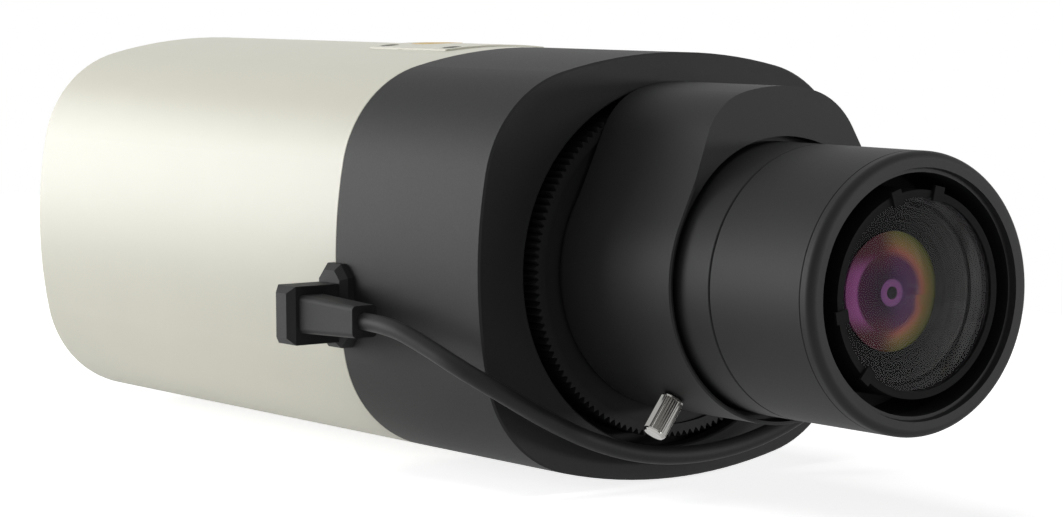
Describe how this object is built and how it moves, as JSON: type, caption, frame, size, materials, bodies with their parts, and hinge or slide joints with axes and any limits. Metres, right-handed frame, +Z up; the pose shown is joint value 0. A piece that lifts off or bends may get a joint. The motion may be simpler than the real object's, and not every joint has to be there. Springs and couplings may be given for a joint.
{
  "type": "security box camera",
  "caption": "Box camera with an ivory body, black bezel, back focus ring, zoom and focus barrel lens, side iris plug and a rear panel of sockets.",
  "frame": {"origin": "mouth of the tripod socket in the top of the body", "axes": "+Y along the body towards the rear panel, with the lens pointing along -Y; +Z up, out of the top tripod socket"},
  "size_m": [0.084, 0.2128, 0.0672],
  "materials": {
    "housing_paint": "satin",
    "bezel_black": "matte",
    "lens_black": "satin",
    "lens_inner_black": "matte",
    "ring_black": "satin",
    "rubber_black": "matte",
    "connector_black": "satin",
    "optical_glass": "polished",
    "coated_glass": "polished",
    "ir_glass": "polished",
    "brass": "satin",
    "plated_steel": "satin",
    "dark_screw": "satin",
    "steel": "satin",
    "aluminium": "satin",
    "board_green": "satin",
    "chip_black": "matte",
    "sensor_glass": "gloss",
    "terminal_green": "gloss",
    "insulator_white": "matte",
    "light_clear": "gloss",
    "button_grey": "matte"
  },
  "bodies": {
    "root": {"audio_jacks": "connector_black", "bezel_screws": "dark_screw", "board_chips": "chip_black", "board_screws": "steel", "bottom_mount_plate": "housing_paint", "cable_relief": "rubber_black", "card_slot": "plated_steel", "focus_guide_tube": "lens_inner_black", "frame_screws": "steel", "front_bezel": "bezel_black", "guide_posts": "steel", "heat_sink": "aluminium", "iris_cable": "rubber_black", "iris_cover": "lens_inner_black", "iris_housing": "lens_inner_black", "iris_motor": "chip_black", "iris_plug": "connector_black", "iris_socket": "connector_black", "lens_base": "lens_black", "lens_mount": "aluminium", "main_board": "board_green", "motor_cover": "lens_black", "network_jack": "plated_steel", "panel_screws": "dark_screw", "panel_standoffs": "brass", "plate_screws": "dark_screw", "rear_board": "board_green", "rear_housing": "housing_paint", "rear_panel": "bezel_black", "sensor_frame": "aluminium", "status_lights": "light_clear", "terminal_blocks": "terminal_green", "terminal_screws": "steel", "top_mount_plate": "housing_paint", "tripod_inserts": "brass", "video_connector": "plated_steel", "video_insulator": "insulator_white", "video_pin": "brass"},
    "back_focus_ring": {"back_focus_ring": "ring_black"},
    "sensor_carriage": {"sensor_holder": "lens_inner_black", "image_sensor": "sensor_glass", "sensor_board": "board_green"},
    "filter_slide": {"filter_carriage": "lens_inner_black", "ir_cut_filter": "ir_glass", "clear_filter": "optical_glass"},
    "zoom_ring": {"zoom_ring": "lens_black"},
    "rear_cell": {"rear_lens_cell": "lens_inner_black", "rear_element": "optical_glass"},
    "focus_ring": {"focus_ring": "lens_black", "front_trim_ring": "lens_black"},
    "front_cell": {"front_lens_cell": "lens_inner_black", "front_element": "optical_glass", "lens_baffle": "lens_inner_black", "second_element": "coated_glass"},
    "iris_upper": {"iris_blade_upper": "lens_inner_black"},
    "iris_lower": {"iris_blade_lower": "lens_inner_black"},
    "iris_lever": {"iris_lever": "steel"},
    "lock_screw": {"zoom_lock_screw": "plated_steel"},
    "reset_button": {"reset_button": "button_grey"}
  },
  "joints": [
    {"name": "back_focus_turn", "type": "hinge", "parent": "root", "child": "back_focus_ring", "pos_m": [0, -0.066, -0.0336], "axis": [0, 1, 0], "range_deg": [-60, 60]},
    {"name": "sensor_slide", "type": "slide", "parent": "root", "child": "sensor_carriage", "axis": [0, 1, 0], "range_m": [-0.0008, 0.0008]},
    {"name": "filter_slide", "type": "slide", "parent": "sensor_carriage", "child": "filter_slide", "axis": [-1, 0, 0], "range_m": [0, 0.0115]},
    {"name": "zoom_turn", "type": "hinge", "parent": "root", "child": "zoom_ring", "pos_m": [0, -0.066, -0.0336], "axis": [0, 1, 0], "range_deg": [0, 70]},
    {"name": "rear_cell_slide", "type": "slide", "parent": "root", "child": "rear_cell", "axis": [0, 1, 0], "range_m": [0, 0.004]},
    {"name": "focus_turn", "type": "hinge", "parent": "root", "child": "focus_ring", "pos_m": [0, -0.066, -0.0336], "axis": [0, 1, 0], "range_deg": [0, 120]},
    {"name": "front_cell_slide", "type": "slide", "parent": "root", "child": "front_cell", "axis": [0, 1, 0], "range_m": [0, 0.002]},
    {"name": "iris_swing", "type": "hinge", "parent": "root", "child": "iris_lever", "pos_m": [0, -0.0785, -0.0107], "axis": [0, 1, 0], "range_deg": [-12, 12]},
    {"name": "iris_upper_slide", "type": "slide", "parent": "root", "child": "iris_upper", "axis": [0, 0, -1], "range_m": [-0.002, 0.002]},
    {"name": "iris_lower_slide", "type": "slide", "parent": "root", "child": "iris_lower", "axis": [0, 0, 1], "range_m": [-0.002, 0.002]},
    {"name": "lock_screw_turn", "type": "hinge", "parent": "root", "child": "lock_screw", "pos_m": [-0.01293, -0.0832, -0.0514], "axis": [-0.5878, 0, -0.809], "range_deg": [0, 360]},
    {"name": "reset_press", "type": "slide", "parent": "root", "child": "reset_button", "axis": [0, -1, 0], "range_m": [0, 0.0006], "stiffness_N_per_m": 250}
  ],
  "couplings": [
    {"joint": "sensor_slide", "follows": "back_focus_turn", "m_per_rad": 0.000716},
    {"joint": "rear_cell_slide", "follows": "zoom_turn", "m_per_rad": 0.00327},
    {"joint": "front_cell_slide", "follows": "focus_turn", "m_per_rad": 0.000954},
    {"joint": "iris_upper_slide", "follows": "iris_swing", "m_per_rad": 0.0095},
    {"joint": "iris_lower_slide", "follows": "iris_swing", "m_per_rad": 0.0095}
  ]
}
